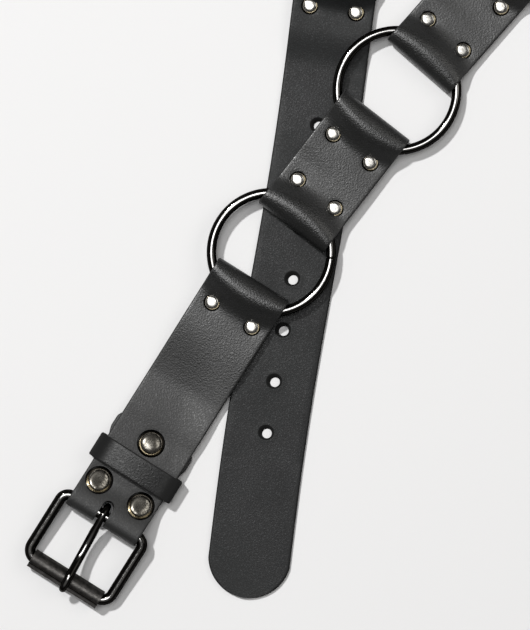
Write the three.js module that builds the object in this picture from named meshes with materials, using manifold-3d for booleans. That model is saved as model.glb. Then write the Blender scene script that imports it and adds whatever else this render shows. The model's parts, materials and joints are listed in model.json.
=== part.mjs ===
// Black harness belt laid flat: short leather links riveted round steel rings, a buckle strap and a
// punched tail strap.
// Units are millimetres, +Z is up, and the belt lies face up on z = 0.

import * as THREE from 'three';
import { mergeVertices } from 'three/addons/utils/BufferGeometryUtils.js';
import Module from 'manifold-3d';

const wasm = await Module();
wasm.setup();

// Leather
const leather = 2.0;
const strapWidth = 38;
const gap = 0.3;
const stack = 2 * leather + gap;

// Rings and the folds that hold them
const ringWire = 4.4;
const ringInside = 50.8;
const ringRadius = (ringInside + ringWire) / 2;
const foldToRing = 14.5;
const rowToRing = 34.0;
const rowSpacing = 26.8;
const foldBackPastRow = 8;
const linkPitch = 2 * rowToRing + rowSpacing;
const foldCrest = 0.7;

// Rivets: cap radius and height, and how far each sits from the strap's middle line
const smallCap = { radius: 3.65, height: 1.9, post: 1.3, fromMiddle: 10.8 };
const largeCap = { radius: 5.65, height: 2.8, post: 1.6, fromMiddle: 11.3 };
const flaredEnd = 1.6;

// Buckle strap, measured from the first ring's centre along the strap
const singleRivetAt = 104.3;
const keeperAt = 118.2;
const rivetPairAt = 131.2;
const barAt = 144.0;
const buckleFoldBackEnd = 96.5;
const rampStart = 98;
const rampEnd = 110.5;

// Buckle
const buckleWire = 5.0;
const windowWidth = 38.8;
const barToRoller = 34.2;
const barCorner = 4.2;
const rollerCorner = 5.2;
const rollerDiameter = 9.2;
const rollerBore = 7.2;
const rollerLength = 37.2;
const tongueWire = 3.9;
const tongueEyeWire = 3.2;
const tongueSkew = 3.5;
const slotWidth = 5.4;
const slotReach = 6.5;
const slotAside = 1.2;

// Keeper
const keeperWidth = 11.8;
const keeperLeather = 1.4;
const keeperInside = 40.7;
const keeperShoulder = 7.3;
const keeperArch = 8.6;

// Tail strap, measured from the last ring's centre along the strap
const tailShoulderAt = 293.0;
const tailTipDepth = 16.4;
const holeDiameter = 6.0;
const holeSpacing = 24.05;
const holeCount = 7;
const lastHoleFromTip = 77.2;
const tailSway = 1.2;

// Compass bearings of the pieces as they lie, clockwise from +Y, in degrees
const buckleStrapBearing = 212.17;
const linkBearings = [37.8, 41.3, 34.0, -31.2, -90, -148.8, -214];
const tailBearing = 188.64;

// How the tail underneath lifts what crosses it
const tailLift = leather + gap;
const drapeWidth = 14;
const drapeMargin = 1.5;
const secondRingTilt = 0.04;
const secondRingTouchX = 100.5;

// Facets
const foldColumns = [-1, -0.37, 0.37, 1];
const foldFacets = 4;
const ringFacets = 24;
const wireFacets = 6;
const rivetFacets = 10;
const barFacets = 8;

const degrees = Math.PI / 180;

const blackLeather = { color: 0x1d1e20, roughness: 0.55, metalness: 0.0 };
const gunmetal = { color: 0x3a3836, roughness: 0.25, metalness: 1.0 };
const rollerSteel = { color: 0x2e2d2c, roughness: 0.45, metalness: 1.0 };
const agedNickel = { color: 0xa39a8a, roughness: 0.32, metalness: 1.0 };

const belt = new THREE.Group();

// A closed geometry with shared vertices whose faces point outwards.
function closed(geometry) {
  const bare = geometry.clone();
  bare.deleteAttribute('normal');
  bare.deleteAttribute('uv');
  const merged = mergeVertices(bare, 1e-4);
  const index = merged.index.array;
  const corners = [new THREE.Vector3(), new THREE.Vector3(), new THREE.Vector3()];
  const kept = [];
  let volume = 0;
  for (let i = 0; i < index.length; i += 3) {
    const [a, b, c] = index.slice(i, i + 3);
    if (a === b || b === c || c === a) continue;
    kept.push(a, b, c);
    corners.forEach((corner, k) => corner.fromBufferAttribute(merged.attributes.position, index[i + k]));
    volume += corners[0].dot(corners[1].clone().cross(corners[2]));
  }
  if (volume < 0) kept.reverse();
  merged.setIndex(kept);
  return merged;
}

function solidOf(geometry) {
  const shell = closed(geometry);
  return new wasm.Manifold(new wasm.Mesh({
    numProp: 3,
    vertProperties: new Float32Array(shell.attributes.position.array),
    triVerts: new Uint32Array(shell.index.array),
  }));
}

function geometryOf(solid) {
  const mesh = solid.getMesh();
  const geometry = new THREE.BufferGeometry();
  geometry.setAttribute('position', new THREE.BufferAttribute(new Float32Array(mesh.vertProperties), 3));
  geometry.setIndex(new THREE.BufferAttribute(new Uint32Array(mesh.triVerts), 1));
  return geometry;
}

function piece(name, geometry, finish) {
  const mesh = new THREE.Mesh(closed(geometry), new THREE.MeshStandardMaterial(finish));
  mesh.name = name;
  return mesh;
}

const smooth = (t) => {
  const u = Math.min(1, Math.max(0, t));
  return u * u * (3 - 2 * u);
};

const ramp = (x, from, to) => Math.min(1, Math.max(0, (x - from) / (to - from)));

// A group at a place in the layout whose +X runs along a bearing.
function along(origin, bearing) {
  const group = new THREE.Group();
  group.position.set(origin.x, origin.y, 0);
  group.rotation.z = (90 - bearing) * degrees;
  belt.add(group);
  group.updateMatrixWorld(true);
  return group;
}

function step(origin, bearing, distance) {
  const turn = bearing * degrees;
  return { x: origin.x + distance * Math.sin(turn), y: origin.y + distance * Math.cos(turn) };
}

// The ring centres, one link pitch apart, from the first ring at the layout's zero.
const ringCentres = [{ x: 0, y: 0 }];
for (const bearing of linkBearings) {
  ringCentres.push(step(ringCentres.at(-1), bearing, linkPitch));
}
const tailFrame = along(ringCentres.at(-1), tailBearing);
const tailInverse = tailFrame.matrixWorld.clone().invert();

const tailSwayAt = (x) => {
  const t = (x - rowToRing) / (tailShoulderAt - rowToRing);
  return t > 0 && t < 1 ? tailSway * Math.sin(2 * Math.PI * t) : 0;
};

// Lift given by the tail strap underneath: full over it, easing to nothing beside it.
function tailDrape(point) {
  const local = point.clone().applyMatrix4(tailInverse);
  const outside = Math.abs(local.y - tailSwayAt(local.x)) - strapWidth / 2 - drapeMargin;
  return tailLift * smooth(1 - outside / drapeWidth);
}

const liftAtSecondRing = (point) => secondRingTilt * (secondRingTouchX - point.x);

// Lift of everything that a ring carries: the first lies on the tail and the second leans on it.
const ringLift = [() => tailLift, liftAtSecondRing];
const liftOfRing = (k) => ringLift[k] ?? (() => 0);

// Raises a laid piece's vertices by the lift of what lies beneath it.
function settle(mesh, lift) {
  mesh.updateWorldMatrix(true, false);
  const position = mesh.geometry.attributes.position;
  const local = new THREE.Vector3();
  for (let i = 0; i < position.count; i += 1) {
    local.fromBufferAttribute(position, i);
    const world = local.clone().applyMatrix4(mesh.matrixWorld);
    position.setZ(i, local.z + lift(world, local));
  }
}

const ringEnd = {
  wire: ringWire / 2,
  edge: foldToRing,
  reach: rowToRing + foldBackPastRow,
  crest: foldCrest,
  shoulderAt: (y) => Math.sqrt(ringRadius ** 2 - y ** 2) + 1.7,
  slope: 4.6,
};

// The bar lies loose in its fold, by one more gap all round.
const barEnd = {
  wire: buckleWire / 2 + gap,
  edge: -(buckleWire / 2 + 2 * gap + leather),
  reach: barAt - buckleFoldBackEnd,
  crest: 0,
  shoulderAt: () => 0.9,
  slope: 5.6,
};

// Middle line of a folded strap end seen from the side, from the end of the fold-back round the wire to the
// top layer. The first number is the distance from the ring's centre or bar, the second the height.
function foldLine(end, y) {
  const bend = end.wire + gap + leather / 2;
  const height = leather + gap + end.wire;
  const centre = end.edge + bend + leather / 2;
  const shoulder = end.shoulderAt(y);
  const top = height + bend;
  const flat = stack - leather / 2;
  const points = [[end.reach, leather / 2]];
  for (let k = 0; k <= foldFacets; k += 1) {
    const angle = -Math.PI / 2 + Math.PI * k / foldFacets;
    points.push([centre - bend * Math.cos(angle), height + bend * Math.sin(angle)]);
  }
  const across = 1 - (2 * y / strapWidth) ** 2;
  points.push([(centre + shoulder) / 2 + 0.3, top + end.crest * across]);
  for (let k = 0; k <= 3; k += 1) {
    const fall = (1 + Math.cos(Math.PI * k / 3)) / 2;
    points.push([shoulder + end.slope * k / 3, flat + (top - flat) * fall]);
  }
  return points;
}

// Leather of even thickness round a middle line. lineAt gives that line for each place across the strap, and
// halfWidthAt the strap's half width at each station of it.
function strapSolid(lineAt, halfWidthAt) {
  const lines = foldColumns.map((column) => lineAt(column * strapWidth / 2));
  const stations = lines[0].length;
  const columns = foldColumns.length;
  const vertices = [];
  for (let i = 0; i < stations; i += 1) {
    for (let j = 0; j < columns; j += 1) {
      const line = lines[j];
      const here = new THREE.Vector2(...line[i]);
      const before = new THREE.Vector2(...line[Math.max(0, i - 1)]);
      const after = new THREE.Vector2(...line[Math.min(stations - 1, i + 1)]);
      const arriving = i > 0 ? here.clone().sub(before).normalize() : after.clone().sub(here).normalize();
      const leaving = i < stations - 1 ? after.clone().sub(here).normalize() : arriving;
      const tangent = arriving.clone().add(leaving).normalize();
      const offset = leather / 2 / tangent.dot(arriving);
      const y = foldColumns[j] * halfWidthAt(i);
      for (const side of [1, -1]) {
        vertices.push(here.x - side * offset * tangent.y, y, here.y + side * offset * tangent.x);
      }
    }
  }
  const outer = (i, j) => 2 * (i * columns + j);
  const inner = (i, j) => outer(i, j) + 1;
  const faces = [];
  const quad = (a, b, c, d) => faces.push(a, b, c, a, c, d);
  const lastRow = stations - 1;
  const lastColumn = columns - 1;
  for (let i = 0; i < lastRow; i += 1) {
    for (let j = 0; j < lastColumn; j += 1) {
      quad(outer(i, j), outer(i + 1, j), outer(i + 1, j + 1), outer(i, j + 1));
      quad(inner(i, j), inner(i, j + 1), inner(i + 1, j + 1), inner(i + 1, j));
    }
    quad(outer(i, 0), inner(i, 0), inner(i + 1, 0), outer(i + 1, 0));
    quad(outer(i, lastColumn), outer(i + 1, lastColumn), inner(i + 1, lastColumn), inner(i, lastColumn));
  }
  for (let j = 0; j < lastColumn; j += 1) {
    quad(outer(0, j), outer(0, j + 1), inner(0, j + 1), inner(0, j));
    quad(outer(lastRow, j), inner(lastRow, j), inner(lastRow, j + 1), outer(lastRow, j + 1));
  }
  const geometry = new THREE.BufferGeometry();
  geometry.setAttribute('position', new THREE.BufferAttribute(new Float32Array(vertices), 3));
  geometry.setIndex(faces);
  return solidOf(geometry);
}

// A rivet standing on the top layer at height zero: domed cap, post, and the end flared out in the lower
// layer.
function rivetGeometry(cap, through) {
  const profile = [
    [0, cap.height + gap],
    [cap.radius * 0.66, cap.height * 0.82 + gap],
    [cap.radius, cap.height * 0.38 + gap],
    [cap.post + 0.2, gap],
    [cap.post * flaredEnd, -through],
    [0, -through],
  ];
  const geometry = new THREE.LatheGeometry(profile.map((p) => new THREE.Vector2(...p)), rivetFacets);
  return geometry.rotateX(Math.PI / 2);
}

// The tapered hole that a rivet's post needs, through every layer.
function rivetHole(cap, x, y, layers) {
  const wide = cap.post * flaredEnd + 0.6;
  const geometry = new THREE.CylinderGeometry(cap.post + 0.65, wide, layers + 1, wireFacets);
  geometry.rotateX(Math.PI / 2);
  geometry.translate(x, y, layers / 2);
  return solidOf(geometry);
}

function addRivet(name, group, cap, x, y, lift, through = stack) {
  const rivet = piece(name, rivetGeometry(cap, through - gap), agedNickel);
  rivet.position.set(x, y, stack);
  group.add(rivet);
  settle(rivet, lift);
}

// Rivet rows: where along the strap and to which side.
const rowOf = (cap, x) => [{ cap, x, y: cap.fromMiddle }, { cap, x, y: -cap.fromMiddle }];

function addStrap(name, group, solid, lift) {
  const strap = piece(name, geometryOf(solid), blackLeather);
  group.add(strap);
  settle(strap, lift);
}

function makeRing(k) {
  const wire = new THREE.TorusGeometry(ringRadius, ringWire / 2, wireFacets, ringFacets);
  const ring = piece(`ring_${k + 1}`, wire, gunmetal);
  ring.position.set(ringCentres[k].x, ringCentres[k].y, leather + gap + ringWire / 2);
  belt.add(ring);
  settle(ring, liftOfRing(k));
}

// A link is one strip folded round a ring at each end, with its single layer in the middle.
function makeLink(k) {
  const group = along(ringCentres[k], linkBearings[k]);
  const letter = 'abcdefg'[k];
  const flat = stack - leather / 2;
  const lineAt = (y) => {
    const start = foldLine(ringEnd, y);
    const end = foldLine(ringEnd, y).map(([x, z]) => [linkPitch - x, z]).reverse();
    return [...start, [ringEnd.reach, flat], [linkPitch - ringEnd.reach, flat], ...end];
  };
  let solid = strapSolid(lineAt, () => strapWidth / 2);
  const rows = [...rowOf(smallCap, rowToRing), ...rowOf(smallCap, rowToRing + rowSpacing)];
  for (const { cap, x, y } of rows) solid = solid.subtract(rivetHole(cap, x, y, stack));
  const startLift = liftOfRing(k);
  const endLift = liftOfRing(k + 1);
  const lift = (world, local) => {
    const share = ramp(local.x, ringEnd.reach, linkPitch - ringEnd.reach);
    return (1 - share) * startLift(world) + share * endLift(world);
  };
  addStrap(`link_${letter}`, group, solid, lift);
  rows.forEach(({ cap, x, y }, n) => {
    const nearest = x < linkPitch / 2 ? startLift : endLift;
    addRivet(`link_${letter}_rivet_${n + 1}`, group, cap, x, y, nearest);
  });
}

// The tail strap: folded round the last ring, flat from there to its rounded tip, with punched holes.
function makeTail() {
  const flat = stack - leather / 2;
  const level = leather / 2;
  const tip = tailShoulderAt + tailTipDepth;
  const spots = [ringEnd.reach + 2, 52, 62, 100, 131, 164, 196, 229, 261, tip];
  const lineAt = (y) => {
    const straight = spots.map((x) => [x, level + (flat - level) * (1 - ramp(x, ringEnd.reach + 2, 62))]);
    return [...foldLine(ringEnd, y), ...straight];
  };
  let solid = strapSolid(lineAt, () => strapWidth / 2);
  const half = strapWidth / 2;
  const tipRadius = (half ** 2 + tailTipDepth ** 2) / (2 * tailTipDepth);
  const sweep = Math.asin(half / tipRadius);
  const outline = new THREE.Shape();
  outline.moveTo(0, -half);
  outline.lineTo(tailShoulderAt, -half);
  outline.absarc(tip - tipRadius, 0, tipRadius, -sweep, sweep, false);
  outline.lineTo(0, half);
  outline.closePath();
  const blank = new THREE.ExtrudeGeometry(outline, { depth: 40, bevelEnabled: false, curveSegments: 12 });
  solid = solid.intersect(solidOf(blank.translate(0, 0, -10)));
  for (let n = 0; n < holeCount; n += 1) {
    const punch = new THREE.CylinderGeometry(holeDiameter / 2, holeDiameter / 2, 3 * leather, 12);
    punch.rotateX(Math.PI / 2).translate(tip - lastHoleFromTip - n * holeSpacing, 0, 0);
    solid = solid.subtract(solidOf(punch));
  }
  const row = rowOf(smallCap, rowToRing);
  for (const { cap, x, y } of row) solid = solid.subtract(rivetHole(cap, x, y, stack));
  const strap = piece('tail_strap', geometryOf(solid), blackLeather);
  const position = strap.geometry.attributes.position;
  for (let i = 0; i < position.count; i += 1) {
    position.setY(i, position.getY(i) + tailSwayAt(position.getX(i)));
  }
  tailFrame.add(strap);
  row.forEach(({ cap, x, y }, n) => addRivet(`tail_rivet_${n + 1}`, tailFrame, cap, x, y, () => 0));
}

// Half width of the buckle strap at each station of its line, narrower in the buckle, with the end of the
// fold-back cut wide and rounded off.
const buckleStrapHalfWidth = (fromEnd) => {
  const shaped = [[0, 9], [1, 16.5], [2, 20.2], [3, 20.2], [4, 19]];
  const found = shaped.find(([n]) => n === fromEnd);
  if (found) return found[1];
  return fromEnd <= 11 ? (windowWidth - 1.2) / 2 : strapWidth / 2;
};

// The buckle strap: folded round the first ring and round the buckle's bar, with a slot for the tongue.
function makeBuckleStrap() {
  const group = along(ringCentres[0], buckleStrapBearing);
  const flat = stack - leather / 2;
  const level = leather / 2;
  const sagFrom = ringEnd.reach + 2;
  const sagTo = buckleFoldBackEnd - 2;
  const height = (x) => {
    const sag = Math.min(ramp(x, sagFrom, 58), 1 - ramp(x, 80, sagTo));
    return flat - (flat - level) * sag;
  };
  const between = [sagFrom, 51, 58, 65, 72, 80, 87, sagTo, rampStart, rampEnd];
  const foldBackLine = [rampStart, 101, 107, rampEnd].map((x) => [x, level]);
  const lineAt = (y) => {
    const end = foldLine(barEnd, y).map(([x, z]) => [barAt - x, z]).reverse();
    const [foldBackEnd] = end.splice(-1);
    return [...foldLine(ringEnd, y), ...between.map((x) => [x, height(x)]), ...end,
      ...foldBackLine.toReversed(), foldBackEnd];
  };
  const stations = lineAt(0).length;
  let solid = strapSolid(lineAt, (i) => buckleStrapHalfWidth(stations - 1 - i));
  const slot = new THREE.BoxGeometry(30, slotWidth, 40);
  slot.translate(barAt - slotReach + 15, -slotAside, 0);
  solid = solid.subtract(solidOf(slot));
  const rivets = [...rowOf(smallCap, rowToRing), { cap: largeCap, x: singleRivetAt, y: 0 },
    ...rowOf(largeCap, rivetPairAt)];
  for (const { cap, x, y } of rivets) solid = solid.subtract(rivetHole(cap, x, y, stack));
  const raised = keeperLeather + gap;
  const lift = (world, local) => {
    const onTail = 1 - ramp(local.x, ringEnd.reach + 2, 80);
    const drape = tailDrape(world) / tailLift;
    return tailLift * (1 - (1 - onTail) * (1 - drape)) + raised * ramp(local.x, rampStart, rampEnd);
  };
  addStrap('buckle_strap', group, solid, lift);
  rivets.forEach(({ cap, x, y }, n) => {
    const size = cap === largeCap ? 'large' : 'small';
    const rise = (raised * (x - rampStart)) / (rampEnd - rampStart);
    const plain = (world, local) => {
      if (x < rampStart) return tailLift;
      if (x > rampEnd) return raised;
      return rise + (raised * local.x) / (rampEnd - rampStart);
    };
    addRivet(`buckle_strap_${size}_rivet_${n + 1}`, group, cap, x, y, plain);
  });
  makeKeeper(group);
  makeBuckle(group, raised);
}

// The keeper: a narrow leather loop round both layers of the strap, a little arched on top.
function makeKeeper(group) {
  const half = keeperInside / 2;
  const inside = [[-half + 1, keeperLeather], [half - 1, keeperLeather], [half, keeperLeather + 1],
    [half, keeperShoulder - 1], [half - 1.6, keeperShoulder], [half / 2, keeperArch - 0.3], [0, keeperArch],
    [-half / 2, keeperArch - 0.3], [-half + 1.6, keeperShoulder], [-half, keeperShoulder - 1],
    [-half, keeperLeather + 1]];
  const wall = keeperLeather;
  const outside = [[-half, 0], [half, 0], [half + wall, wall], [half + wall, keeperShoulder - 0.3],
    [half - 1, keeperShoulder + wall], [half / 2, keeperArch + wall - 0.3], [0, keeperArch + wall],
    [-half / 2, keeperArch + wall - 0.3], [-half + 1, keeperShoulder + wall],
    [-half - wall, keeperShoulder - 0.3], [-half - wall, wall]];
  const section = new THREE.Shape(outside.map((p) => new THREE.Vector2(...p)));
  section.holes.push(new THREE.Path(inside.toReversed().map((p) => new THREE.Vector2(...p))));
  const geometry = new THREE.ExtrudeGeometry(section, { depth: keeperWidth, bevelEnabled: false });
  geometry.rotateX(Math.PI / 2);
  geometry.rotateZ(Math.PI / 2);
  const keeper = piece('keeper', geometry, blackLeather);
  keeper.position.x = keeperAt - keeperWidth / 2;
  group.add(keeper);
}

// A round bar swept along points that lie in one plane, tapered by radiusAt.
function barGeometry(points, planeNormal, radiusAt, looped) {
  const vertices = [];
  const count = points.length;
  const at = (i) => (looped ? points[(i + count) % count] : points[Math.min(count - 1, Math.max(0, i))]);
  points.forEach((point, i) => {
    const tangent = at(i + 1).clone().sub(at(i - 1)).normalize();
    const side = planeNormal.clone().cross(tangent);
    for (let k = 0; k < barFacets; k += 1) {
      const angle = 2 * Math.PI * (k + 0.5) / barFacets;
      const spoke = side.clone().multiplyScalar(Math.cos(angle));
      spoke.addScaledVector(planeNormal, Math.sin(angle));
      vertices.push(...point.clone().addScaledVector(spoke, radiusAt(i)).toArray());
    }
  });
  const faces = [];
  const turns = looped ? count : count - 1;
  for (let i = 0; i < turns; i += 1) {
    for (let k = 0; k < barFacets; k += 1) {
      const a = i * barFacets + k;
      const b = i * barFacets + (k + 1) % barFacets;
      const c = ((i + 1) % count) * barFacets + (k + 1) % barFacets;
      const d = ((i + 1) % count) * barFacets + k;
      faces.push(a, b, c, a, c, d);
    }
  }
  if (!looped) {
    const last = (count - 1) * barFacets;
    for (let k = 1; k < barFacets - 1; k += 1) {
      faces.push(0, k + 1, k, last, last + k, last + k + 1);
    }
  }
  const geometry = new THREE.BufferGeometry();
  geometry.setAttribute('position', new THREE.BufferAttribute(new Float32Array(vertices), 3));
  geometry.setIndex(faces);
  return geometry;
}

// The buckle: a bent wire frame, a loose roller on its front bar and a tongue hooked on the bar in the fold.
function makeBuckle(strapGroup, raised) {
  const barHeight = raised + leather + gap + barEnd.wire;
  const fall = barHeight - rollerDiameter / 2;
  const buckle = new THREE.Group();
  buckle.position.set(barAt, 0, barHeight);
  buckle.rotation.y = Math.asin(fall / barToRoller);
  strapGroup.add(buckle);

  const halfSpan = (windowWidth + buckleWire) / 2;
  const corners = [
    { x: 0, y: -halfSpan, radius: barCorner, from: 180 },
    { x: barToRoller, y: -halfSpan, radius: rollerCorner, from: 270 },
    { x: barToRoller, y: halfSpan, radius: rollerCorner, from: 0 },
    { x: 0, y: halfSpan, radius: barCorner, from: 90 },
  ];
  const outline = [];
  for (const corner of corners) {
    const { radius, from } = corner;
    const centreX = corner.x + (corner.x > 0 ? -radius : radius);
    const centreY = corner.y + (corner.y > 0 ? -radius : radius);
    for (let k = 0; k <= 4; k += 1) {
      const angle = (from + 22.5 * k) * degrees;
      const x = centreX + radius * Math.cos(angle);
      const y = centreY + radius * Math.sin(angle);
      outline.push(new THREE.Vector3(x, y, 0));
    }
  }
  const up = new THREE.Vector3(0, 0, 1);
  const frame = barGeometry(outline, up, () => buckleWire / 2, true);
  buckle.add(piece('buckle_frame', frame, gunmetal));

  const bore = rollerBore / 2;
  const outer = rollerDiameter / 2;
  const halfRoller = rollerLength / 2;
  const tube = [[bore, -halfRoller], [outer, -halfRoller], [outer, halfRoller], [bore, halfRoller],
    [bore, -halfRoller]];
  const roller = piece('buckle_roller', new THREE.LatheGeometry(tube.map((p) => new THREE.Vector2(...p)), 16),
    rollerSteel);
  roller.position.x = barToRoller;
  buckle.add(roller);

  const eyeRadius = buckleWire / 2 + gap + tongueEyeWire / 2;
  const eye = [];
  for (let angle = -35; angle >= -270; angle -= 33.5) {
    eye.push([eyeRadius * Math.cos(angle * degrees), eyeRadius * Math.sin(angle * degrees)]);
  }
  const over = rollerDiameter / 2 + gap + tongueWire / 2;
  const shank = [[5.5, 3.4], [11, 1.5], [17, 0.9], [23, 2.1], [28.5, 4.7], [barToRoller - 2, over + 0.1],
    [barToRoller + 2.3, over - 0.15], [barToRoller + 5.0, over - 2.0]];
  const path = [...eye, ...shank].map(([x, z]) => new THREE.Vector3(x, 0, z));
  const radiusAt = (i) => {
    if (i < eye.length) return tongueEyeWire / 2;
    return tongueWire / 2 - Math.max(0, i - (path.length - 4)) * 0.12;
  };
  const wire = barGeometry(path, new THREE.Vector3(0, 1, 0), radiusAt, false);
  const tongue = piece('buckle_tongue', wire, gunmetal);
  tongue.position.y = -slotAside;
  tongue.rotation.z = tongueSkew * degrees;
  buckle.add(tongue);
}

makeBuckleStrap();
ringCentres.forEach((centre, k) => makeRing(k));
linkBearings.forEach((bearing, k) => makeLink(k));
makeTail();

// The origin is under the middle of the belt's box, on the surface that it lies on.
belt.updateMatrixWorld(true);
const box = new THREE.Box3().setFromObject(belt, true);
const middle = box.getCenter(new THREE.Vector3());
belt.position.set(-middle.x, -middle.y, -box.min.z);
belt.updateMatrixWorld(true);

export default belt;
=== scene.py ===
import json
import math

import bmesh
import bpy
import numpy as np
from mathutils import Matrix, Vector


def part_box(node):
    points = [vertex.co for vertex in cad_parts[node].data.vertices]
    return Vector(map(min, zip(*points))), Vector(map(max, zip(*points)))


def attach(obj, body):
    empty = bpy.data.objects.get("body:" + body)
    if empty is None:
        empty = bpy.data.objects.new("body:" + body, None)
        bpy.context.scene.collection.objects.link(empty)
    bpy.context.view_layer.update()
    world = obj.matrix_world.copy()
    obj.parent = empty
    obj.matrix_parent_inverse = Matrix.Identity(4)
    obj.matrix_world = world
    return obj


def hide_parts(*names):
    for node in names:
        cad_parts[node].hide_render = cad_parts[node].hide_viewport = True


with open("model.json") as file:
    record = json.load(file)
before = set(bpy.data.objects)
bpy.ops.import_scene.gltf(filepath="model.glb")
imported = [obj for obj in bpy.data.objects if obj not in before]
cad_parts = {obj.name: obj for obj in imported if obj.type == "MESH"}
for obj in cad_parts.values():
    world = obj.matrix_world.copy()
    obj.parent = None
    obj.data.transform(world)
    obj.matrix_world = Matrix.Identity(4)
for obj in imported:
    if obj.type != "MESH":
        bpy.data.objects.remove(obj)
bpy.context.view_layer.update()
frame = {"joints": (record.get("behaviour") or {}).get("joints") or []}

# Rings
# Eight rings of round steel wire, each bent to a circle with its ends butted, and plated dark gunmetal. The
# folded straps hold them. The first lies on the tail strap, and the second leans on it.

MM = 0.001
ring_wire = 4.4
ring_radius = 27.6
ring_height = 4.5
second_ring_lean = 0.04
seam_angle_in_sight = math.radians(-5.3)
seam_depth = 0.75
seam_half_width = 0.24
# The band round the top of a wire that gets the painted highlight, by how near straight up it faces.
highlight_band_from = 0.94
highlight_band_over = 0.05


def middle(node):
    """Middle of a part's box, in millimetres."""
    low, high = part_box(node)
    return (np.array(low) + np.array(high)) / 2 / MM


ring_middles = [middle(f"ring_{k}") for k in range(1, 9)]


def lift_of_ring(k):
    """Height by which ring k stands above one that lies in straps on the floor, as a function of place."""
    centre = ring_middles[k]
    lean = second_ring_lean if k == 1 else 0.0
    return lambda x, y: centre[2] - ring_height - lean * (x - centre[0])


def quads(rows, columns, rows_closed=False, columns_closed=False):
    """The four corners of each face between neighbouring points of a grid that is numbered row by row."""
    row, column = np.meshgrid(
        np.arange(rows if rows_closed else rows - 1),
        np.arange(columns if columns_closed else columns - 1),
        indexing="ij",
    )
    below = (row + 1) % rows
    beside = (column + 1) % columns
    corners = [
        row * columns + column, row * columns + beside, below * columns + beside, below * columns + column,
    ]
    return np.stack(corners, axis=-1).reshape(-1, 4)


def make_piece(name, points, faces, material, body="belt", nodes=None, marks=None, crease=40):
    """A piece from points in millimetres and faces between them. Doubles at seams and poles are merged, the
    faces turned outwards, and edges sharper than the crease angle left crisp. marks are values kept at the
    points."""
    mesh = bpy.data.meshes.new(name)
    mesh.from_pydata((points.reshape(-1, 3) * MM).tolist(), [], faces.tolist())
    for mark, values in (marks or {}).items():
        attribute = mesh.attributes.new(mark, "FLOAT", "POINT")
        attribute.data.foreach_set("value", values.astype(np.float32).ravel())
    shell = bmesh.new()
    shell.from_mesh(mesh)
    bmesh.ops.remove_doubles(shell, verts=shell.verts, dist=0.002 * MM)
    bmesh.ops.recalc_face_normals(shell, faces=shell.faces)
    shell.to_mesh(mesh)
    shell.free()
    mesh.shade_smooth()
    mesh.set_sharp_from_angle(angle=math.radians(crease))
    mesh.materials.append(material)
    piece = bpy.data.objects.new(name, mesh)
    bpy.context.scene.collection.objects.link(piece)
    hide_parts(*(nodes or [name.removesuffix("_skin")]))
    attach(piece, body)


def add_node(tree, kind, inputs=None, **settings):
    """A node of a kind in a tree, with its settings and the values of its inputs."""
    node = tree.nodes.new(kind)
    for name, value in settings.items():
        setattr(node, name, value)
    for name, value in (inputs or {}).items():
        node.inputs[name].default_value = value
    return node


def new_material(name, **shader):
    """A material and its shader, whose named sockets hold the values that are the same all over."""
    material = bpy.data.materials.new(name)
    material.use_nodes = True
    principled = material.node_tree.nodes["Principled BSDF"]
    for socket, value in shader.items():
        principled.inputs[socket.replace("_", " ")].default_value = value
    return material, material.node_tree, principled


def effect_group(name, inputs, outputs):
    """A shader node group with named value inputs and outputs, and its two end nodes."""
    group = bpy.data.node_groups.new(name, "ShaderNodeTree")
    for socket, kind in inputs.items():
        group.interface.new_socket(socket, in_out="INPUT", socket_type=kind)
    for socket, kind in outputs.items():
        group.interface.new_socket(socket, in_out="OUTPUT", socket_type=kind)
    return group, group.nodes.new("NodeGroupInput"), group.nodes.new("NodeGroupOutput")


def blend(tree, mask, first, second):
    """A mix of two colours, the first where the mask is 0. Each is a colour or the output of a node."""
    mix = add_node(tree, "ShaderNodeMix", data_type="RGBA")
    for socket, value in ((0, mask), (6, first), (7, second)):
        if isinstance(value, tuple):
            mix.inputs[socket].default_value = (*value, 1.0)
        else:
            tree.links.new(value, mix.inputs[socket])
    return mix.outputs[2]


def remap(tree, value, **ends):
    """A node's output brought from one range to another. Each goes from 0 to 1 unless its ends are given."""
    node = add_node(tree, "ShaderNodeMapRange", {end.replace("_", " "): limit for end, limit in ends.items()})
    tree.links.new(value, node.inputs["Value"])
    return node.outputs["Result"]


def marked(tree, name):
    """The values of a mark that is kept at a piece's points."""
    return add_node(tree, "ShaderNodeAttribute", attribute_name=name).outputs["Fac"]


def add_texture(tree, kind, size, inputs, **settings):
    """A texture over the piece's own coordinates, with features of the size that the output of a node
    gives."""
    place = add_node(tree, "ShaderNodeTexCoord")
    scale = add_node(tree, "ShaderNodeMath", {0: 1.0}, operation="DIVIDE")
    texture = add_node(tree, kind, inputs, **settings)
    tree.links.new(size, scale.inputs[1])
    tree.links.new(scale.outputs[0], texture.inputs["Scale"])
    tree.links.new(place.outputs["Object"], texture.inputs["Vector"])
    return texture


def make_plating_wear():
    """Plating wear: broad noise gives the tone from 0 to 1, and fine noise stretched small gives its
    roughness."""
    group, given, result = effect_group(
        "plating_wear",
        {"Patch size": "NodeSocketFloat", "Scuff size": "NodeSocketFloat"},
        {"Tone": "NodeSocketFloat", "Scuffs": "NodeSocketFloat"},
    )
    for output, size, detail in (("Tone", "Patch size", 4.0), ("Scuffs", "Scuff size", 6.0)):
        noise = add_texture(
            group, "ShaderNodeTexNoise", given.outputs[size], {"Detail": detail, "Roughness": 0.6},
        )
        spread = remap(group, noise.outputs["Fac"], From_Min=0.32, From_Max=0.68)
        group.links.new(spread, result.inputs[output])
    return group


plating_wear = make_plating_wear()


def add_wear(tree, patch, scuff):
    """The plating wear in a material, with patches and scuffs of a size in millimetres."""
    sizes = {"Patch size": patch * MM, "Scuff size": scuff * MM}
    return add_node(tree, "ShaderNodeGroup", sizes, node_tree=plating_wear)


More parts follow.
